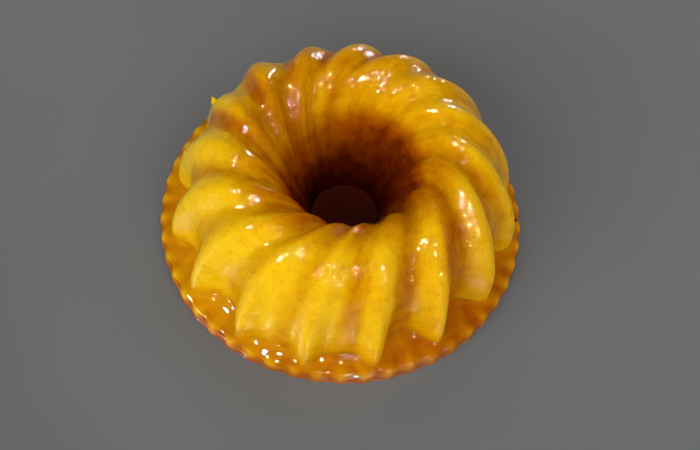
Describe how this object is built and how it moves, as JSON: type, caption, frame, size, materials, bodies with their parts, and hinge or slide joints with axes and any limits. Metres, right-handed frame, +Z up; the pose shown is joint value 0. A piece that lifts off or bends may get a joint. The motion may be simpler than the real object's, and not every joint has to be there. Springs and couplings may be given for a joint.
{
  "type": "caramel pudding on a plate",
  "caption": "Swirled ring-moulded custard pudding glazed with caramel, with a scalloped base and a caramel pool in its hole, served on a round grey glazed plate.",
  "frame": {"origin": "under the middle of the plate, on the surface that the plate stands on", "axes": "+Z up; -Y is the side of the pudding that faces the viewer; the flutes turn counter-clockwise seen from above as they rise"},
  "size_m": [0.26, 0.26, 0.0394],
  "materials": {
    "grey_glaze": "smooth glossy mid-grey glaze on stoneware",
    "custard": "moist egg-yellow custard, satin, with amber caramel in the valleys",
    "caramel": "clear dark brown caramel syrup, wet gloss"
  },
  "bodies": {
    "root": {"plate": "grey_glaze", "pudding": "custard", "caramel_pool": "caramel"}
  },
  "joints": []
}
